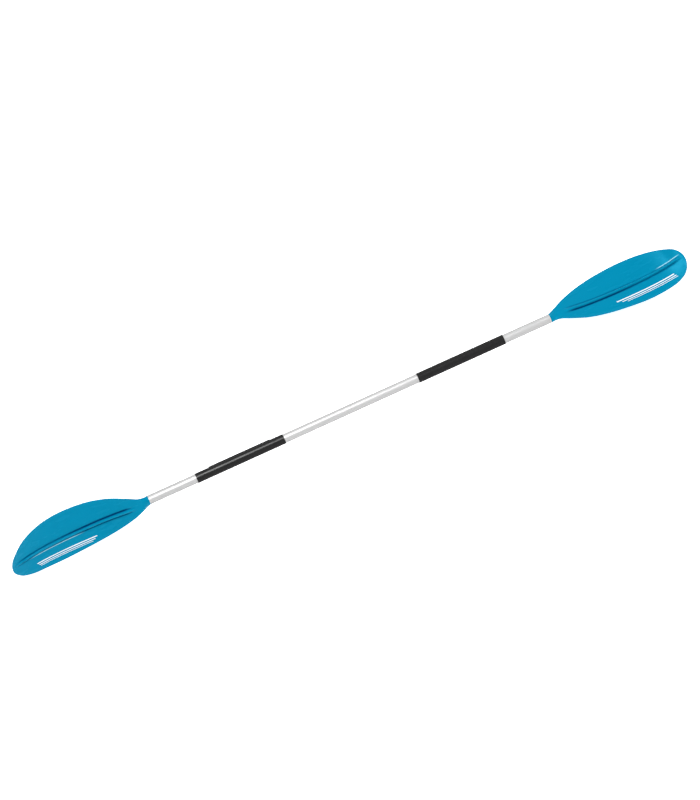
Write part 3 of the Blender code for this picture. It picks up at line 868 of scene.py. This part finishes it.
def new_material(name):
    """A material, its node tree, its Principled shader and its object coordinates."""
    material = bpy.data.materials.new(name)
    material.use_nodes = True
    tree = material.node_tree
    shader = tree.nodes["Principled BSDF"]
    place = node(tree, "TexCoord", output=3)
    return material, tree, shader, place


def dress(tree, shader, color, roughness, normal=None, **uniform):
    """Links colour, roughness and normal. The uniform values are set on the shader's own sockets."""
    wire(tree, shader.inputs["Base Color"], color)
    wire(tree, shader.inputs["Roughness"], roughness)
    if normal is not None:
        wire(tree, shader.inputs["Normal"], normal)
    for name, value in uniform.items():
        shader.inputs[name.replace("_", " ")].default_value = value


def between(tree, value, low, high, soft):
    """1 where the value lies between low and high, with soft edges."""
    rise = remap(tree, value, low - soft, low + soft, 0, 1)
    fall = remap(tree, value, high - soft, high + soft, 1, 0)
    return math_node(tree, "MULTIPLY", rise, fall)


def print_mask(tree, direction):
    """Plain white trim printed below the rib: three bars with slanted ends."""
    plan = node(tree, "UVMap", uv_map="plan")
    split = tree.nodes.new("ShaderNodeSeparateXYZ")
    wire(tree, split.inputs[0], plan)
    along_shift, across_shift = TRIM_SHIFTS[direction]
    u = math_node(tree, "SUBTRACT", split.outputs[0], along_shift)
    v = math_node(tree, "SUBTRACT", split.outputs[1], across_shift)
    slanted = math_node(tree, "ADD", u, math_node(tree, "MULTIPLY", v, TRIM_SLANT * direction))
    printed = node(tree, "Attribute", attribute_name="front", output=2)
    bars = 0.0
    for middle, width, start, end in TRIM_BARS:
        rows = between(tree, v, middle - width / 2, middle + width / 2, TRIM_SOFT)
        bar = math_node(tree, "MULTIPLY", rows, between(tree, slanted, start, end, TRIM_SOFT))
        bars = math_node(tree, "MAXIMUM", bars, bar)
    return math_node(tree, "MULTIPLY", bars, printed)


def blade_material(name, direction):
    """Glossy moulded plastic with shade painted into the creases and a highlight painted on one crease's
    lip, faintly scuffed along its edges.
    """
    material, tree, shader, place = new_material(name)
    upper_shade, lower_shade = CREASE_SHADE_STRENGTHS[direction]
    cloud = noise(tree, place, 9, 2)
    flow = noise(tree, place, 60, 3, (0.25, 1, 1))
    color = blend_color(tree, remap(tree, cloud, 0.35, 0.65, 0, 0.12), BLADE_PLASTIC, BLADE_CLOUD)
    # Painted shade: the colour is darkened in the two creases beside the rib.
    upper = node(tree, "Attribute", attribute_name="upper_crease_shade", output=2)
    lower = node(tree, "Attribute", attribute_name="lower_crease_shade", output=2)
    painted_shade = math_node(
        tree,
        "ADD",
        math_node(tree, "MULTIPLY", upper, upper_shade),
        math_node(tree, "MULTIPLY", lower, lower_shade),
    )
    color = blend_color(tree, painted_shade, color, CREASE_SHADE_COLOR)
    # Painted highlight: a pale line on the lip beside one crease.
    painted_highlight = node(tree, "Attribute", attribute_name="painted_lip_highlight", output=2)
    color = blend_color(tree, math_node(tree, "MULTIPLY", painted_highlight, 0.9), color, LIP_HIGHLIGHT_COLOR)
    edge = node(tree, "Attribute", attribute_name="edge", output=2)
    scuffs = remap(tree, noise(tree, place, 420, 4), 0.48, 0.66, 0, 1)
    worn = math_node(tree, "MULTIPLY", edge, scuffs)
    color = blend_color(tree, math_node(tree, "MULTIPLY", worn, 0.22), color, BLADE_SCUFF)
    printed = print_mask(tree, direction)
    color = blend_color(tree, printed, color, PRINT_WHITE)
    roughness = remap(tree, flow, 0.3, 0.7, 0.22, 0.3)
    roughness = math_node(tree, "ADD", roughness, math_node(tree, "MULTIPLY", worn, 0.2))
    grain = bump(tree, noise(tree, place, 1400, 2), 0.02 * MM, 0.35)
    waves = bump(tree, noise(tree, place, 26, 2), 0.35 * MM, 0.35, grain)
    ink = bump(tree, printed, 0.03 * MM, 0.5, waves)
    dress(tree, shader, color, roughness, ink, Specular_IOR_Level=0.35, Specular_Tint=BLADE_SPECULAR_TINT)
    return material


def tube_material():
    """Drawn aluminium with a clear satin anodised skin: fine lines along it and a few faint scratches."""
    material, tree, shader, place = new_material("tube_aluminium_drawn")
    lines = noise(tree, place, 900, 4, (0.012, 1, 1))
    bands = noise(tree, place, 120, 2, (0.05, 1, 1))
    rings = noise(tree, place, 60, 3, (1, 0.2, 0.2))
    scratch = remap(tree, noise(tree, place, 160, 5, (0.15, 1, 1)), 0.66, 0.72, 0, 1)
    color = blend_color(tree, remap(tree, lines, 0.3, 0.7, 0, 0.35), ALUMINIUM, ALUMINIUM_LINES)
    color = blend_color(tree, math_node(tree, "MULTIPLY", scratch, 0.3), color, ALUMINIUM_SCRATCH)
    roughness = remap(tree, bands, 0.3, 0.7, 0.32, 0.4)
    roughness = math_node(tree, "ADD", roughness, math_node(tree, "MULTIPLY", rings, 0.04))
    normal = bump(tree, lines, 0.02 * MM, 0.3)
    dress(tree, shader, color, roughness, normal, Metallic=0.5, Specular_Tint=(0.25, 0.25, 0.26, 1.0))
    return material


def rubber_material():
    """Smooth black grip rubber with a faint pebble, lighter where hands have rubbed it."""
    material, tree, shader, place = new_material("grip_rubber_sleeve")
    cloud = noise(tree, place, 40, 3)
    rub = noise(tree, place, 90, 4, (0.3, 1, 1))
    color = blend_color(tree, remap(tree, cloud, 0.35, 0.7, 0, 0.6), RUBBER_BLACK, RUBBER_RUBBED)
    roughness = remap(tree, rub, 0.3, 0.7, 0.18, 0.27)
    pebble = node(tree, "TexVoronoi", {"Vector": place, "Scale": 1300.0})
    normal = bump(tree, pebble, 0.03 * MM, 0.3)
    normal = bump(tree, noise(tree, place, 300, 3), 0.05 * MM, 0.3, normal)
    dress(tree, shader, color, roughness, normal, Specular_IOR_Level=0.4)
    return material


def rivet_material():
    material, tree, shader, place = new_material("rivet_aluminium_bright")
    wheel = node(tree, "TexGradient", {"Vector": place}, gradient_type="RADIAL")
    tool = noise(tree, place, 2600, 3, (0.2, 1, 1))
    color = blend_color(tree, remap(tree, tool, 0.3, 0.7, 0, 0.5), RIVET_BRIGHT, RIVET_DULL)
    roughness = remap(tree, noise(tree, place, 700, 3), 0.3, 0.7, 0.24, 0.42)
    normal = bump(tree, math_node(tree, "ADD", tool, wheel), 0.02 * MM, 0.4)
    dress(tree, shader, color, roughness, normal, Metallic=1.0)
    return material


def ferrule_material():
    """Glass-filled black nylon: a speckled satin, rubbed along its length by the tube that slides on it."""
    material, tree, shader, place = new_material("ferrule_plastic_nylon")
    speckle = noise(tree, place, 2200, 2)
    rubbed = remap(tree, noise(tree, place, 500, 4, (0.02, 1, 1)), 0.52, 0.7, 0, 1)
    color = blend_color(tree, remap(tree, speckle, 0.45, 0.7, 0, 0.5), FERRULE_BLACK, FERRULE_SPECKLE)
    color = blend_color(tree, math_node(tree, "MULTIPLY", rubbed, 0.25), color, FERRULE_RUBBED)
    roughness = math_node(tree, "SUBTRACT", 0.5, math_node(tree, "MULTIPLY", rubbed, 0.16))
    normal = bump(tree, speckle, 0.04 * MM, 0.4)
    dress(tree, shader, color, roughness, normal)
    return material


def steel_material():
    material, tree, shader, place = new_material("spring_steel_bright")
    grain = noise(tree, place, 1500, 3, (0.05, 1, 1))
    color = blend_color(tree, remap(tree, grain, 0.3, 0.7, 0, 0.5), STEEL, STEEL_GRAIN)
    roughness = remap(tree, grain, 0.3, 0.7, 0.18, 0.32)
    normal = bump(tree, grain, 0.01 * MM, 0.4)
    dress(tree, shader, color, roughness, normal, Metallic=1.0)
    return material


def seal_material():
    material, tree, shader, place = new_material("seal_rubber_ring")
    dust = noise(tree, place, 1800, 4)
    color = blend_color(tree, remap(tree, dust, 0.4, 0.7, 0, 0.6), SEAL_BLACK, SEAL_DUST)
    roughness = remap(tree, dust, 0.3, 0.7, 0.42, 0.6)
    dress(tree, shader, color, roughness, bump(tree, dust, 0.02 * MM, 0.4))
    return material


def foam_material():
    """Closed-cell foam: fine round cells with darker walls."""
    material, tree, shader, place = new_material("float_foam_cells")
    cells = node(tree, "TexVoronoi", {"Vector": place, "Scale": 1100.0})
    color = blend_color(tree, remap(tree, cells, 0.1, 0.8, 0, 0.5), FOAM_WHITE, FOAM_WALL)
    roughness = remap(tree, cells, 0, 1, 0.8, 0.95)
    dress(tree, shader, color, roughness, bump(tree, cells, 0.25 * MM, 0.6), Specular_IOR_Level=0.25)
    return material


def index_material():
    material, tree, shader, place = new_material("index_plastic_strip")
    grain = noise(tree, place, 900, 3)
    color = blend_color(tree, remap(tree, grain, 0.3, 0.7, 0, 0.5), STRIP_BLACK, STRIP_GRAIN)
    dress(tree, shader, color, remap(tree, grain, 0.3, 0.7, 0.4, 0.55), bump(tree, grain, 0.03 * MM, 0.4))
    return material


# ---------------------------------------------------------------- studio


def add_floor():
    form = bmesh.new()
    bmesh.ops.create_grid(form, x_segments=1, y_segments=1, size=FLOOR_SIZE)
    floor = bpy.data.objects.new("floor", finished("floor", form))
    bpy.context.scene.collection.objects.link(floor)
    material = bpy.data.materials.new("floor_paint")
    material.use_nodes = True
    shader = material.node_tree.nodes["Principled BSDF"]
    shader.inputs["Base Color"].default_value = FLOOR_WHITE
    shader.inputs["Roughness"].default_value = 0.9
    shader.inputs["Specular IOR Level"].default_value = 0.1
    shader.inputs["Emission Color"].default_value = (1, 1, 1, 1)
    shader.inputs["Emission Strength"].default_value = FLOOR_GLOW
    floor.data.materials.append(material)
    floor.visible_glossy = False


def add_area_light(name, place, size, power, target=(0, 0, 0)):
    light = bpy.data.lights.new(name, "AREA")
    light.shape = "RECTANGLE"
    light.size, light.size_y = size
    light.energy = power
    lamp = bpy.data.objects.new(name, light)
    bpy.context.scene.collection.objects.link(lamp)
    lamp.location = place
    lamp.rotation_euler = (Vector(target) - Vector(place)).to_track_quat("-Z", "Y").to_euler()
    return lamp


def add_world(strength):
    world = bpy.data.worlds.new("studio")
    world.use_nodes = True
    background = world.node_tree.nodes["Background"]
    background.inputs["Color"].default_value = (1, 1, 1, 1)
    background.inputs["Strength"].default_value = strength
    bpy.context.scene.world = world


def add_camera():
    """A long lens looks down at the paddle, turned so that the shaft climbs to the right."""
    view = Vector((
        -math.sin(CAMERA_AZIMUTH),
        -math.cos(CAMERA_ELEVATION) * math.cos(CAMERA_AZIMUTH),
        math.sin(CAMERA_ELEVATION) * math.cos(CAMERA_AZIMUTH),
    )).normalized()
    shaft = (Vector((1, 0, 0)) - view * view.x).normalized()
    normal = view.cross(shaft)
    right = shaft * math.cos(CAMERA_ROLL) - normal * math.sin(CAMERA_ROLL)
    up = shaft * math.sin(CAMERA_ROLL) + normal * math.cos(CAMERA_ROLL)
    aim = Vector((0, 0, AXIS_HEIGHT)) + right * AIM_OFFSET[0] + up * AIM_OFFSET[1]
    data = bpy.data.cameras.new("camera")
    data.sensor_fit = "HORIZONTAL"
    data.sensor_width = SENSOR_WIDTH
    data.lens = CAMERA_LENS
    data.clip_end = 60
    camera = bpy.data.objects.new("camera", data)
    bpy.context.scene.collection.objects.link(camera)
    axes = Matrix((right, up, view)).transposed().to_4x4()
    camera.matrix_world = Matrix.Translation(aim + view * CAMERA_DISTANCE) @ axes
    bpy.context.scene.camera = camera


def add_studio():
    """A soft key light overhead, a bank on each side, a strip that only glints, and an even room."""
    add_floor()
    add_world(ROOM_GLOW)
    for name, (place, size, power) in DIFFUSE_LAMPS.items():
        lamp = add_area_light(name, place, size, power)
        lamp.visible_glossy = False
    strip = add_area_light("strip", *GLINT_STRIP)
    strip.visible_diffuse = False
    bpy.context.scene.view_settings.view_transform = "Standard"
    bpy.context.scene.view_settings.look = "None"


def add_right_half():
    holes = blade_rivet_holes(1)
    for x in SPIGOT_RIVETS_X:
        holes.append(hole_cutter(x, SPIGOT_RIVET_ANGLE, RIVET_HOLE_R, BORE_R - MM, TUBE_R + MM))
    add_tube("right_shaft_tube", 1, RIGHT_FRAME, "right_half", TUBE, holes)
    add_plain_grip(RUBBER)
    add_blade("right_blade", 1, RIGHT_FRAME, "right_half", blade_material("right_blade_gloss", 1))
    add_float_plug("right_float_plug", RIGHT_FLOAT_PLUG_X, RIGHT_FRAME, "right_half", FOAM)
    for number, distance in enumerate(BLADE_RIVETS_FROM_NECK, 1):
        add_rivet(
            f"right_blade_rivet_{number}", NECK - distance, BACK_ANGLE, BLADE_RIVET_TIP, RIGHT_FRAME,
            "right_half", RIVET,
        )
    for number, x in enumerate(SPIGOT_RIVETS_X, 1):
        add_rivet(
            f"spigot_rivet_{number}", x, SPIGOT_RIVET_ANGLE, SPIGOT_RIVET_TIP, RIGHT_FRAME,
            "right_half", RIVET,
        )


def add_left_half():
    holes = blade_rivet_holes(-1)
    for setting in FEATHER_SETTINGS:
        angle = BUTTON_ANGLE - FEATHER + setting
        holes.append(hole_cutter(BUTTON_HOLE_X, angle, BUTTON_HOLE_R, BORE_R - MM, TUBE_R + MM))
    add_tube("left_shaft_tube", -1, LEFT_FRAME, "left_half", TUBE, holes)
    add_index_grip(RUBBER)
    add_blade("left_blade", -1, LEFT_FRAME, "left_half", blade_material("left_blade_gloss", -1))
    add_float_plug("left_float_plug", LEFT_FLOAT_PLUG_X, LEFT_FRAME, "left_half", FOAM)
    for number, distance in enumerate(BLADE_RIVETS_FROM_NECK, 1):
        add_rivet(
            f"left_blade_rivet_{number}", distance - NECK, BACK_ANGLE, BLADE_RIVET_TIP, LEFT_FRAME,
            "left_half", RIVET,
        )
    strip = frame["nodes"]["left_index_strip"]
    for slot in strip.material_slots:
        slot.material = index_material()


def add_ferrule():
    nylon = ferrule_material()
    add_spigot(nylon)
    add_end_plug(nylon)
    add_o_ring(seal_material())
    steel = steel_material()
    add_leaf("snap_spring_leaf", 1, "snap_button", steel, ["snap_button_leaf"])
    add_leaf("snap_rest_leaf", -1, "right_half", steel, ["snap_back_leaf"])
    add_snap_button(steel)


TUBE = tube_material()
RUBBER = rubber_material()
RIVET = rivet_material()
FOAM = foam_material()
add_camera()
add_studio()
add_right_half()
add_left_half()
add_ferrule()

bpy.context.view_layer.update()
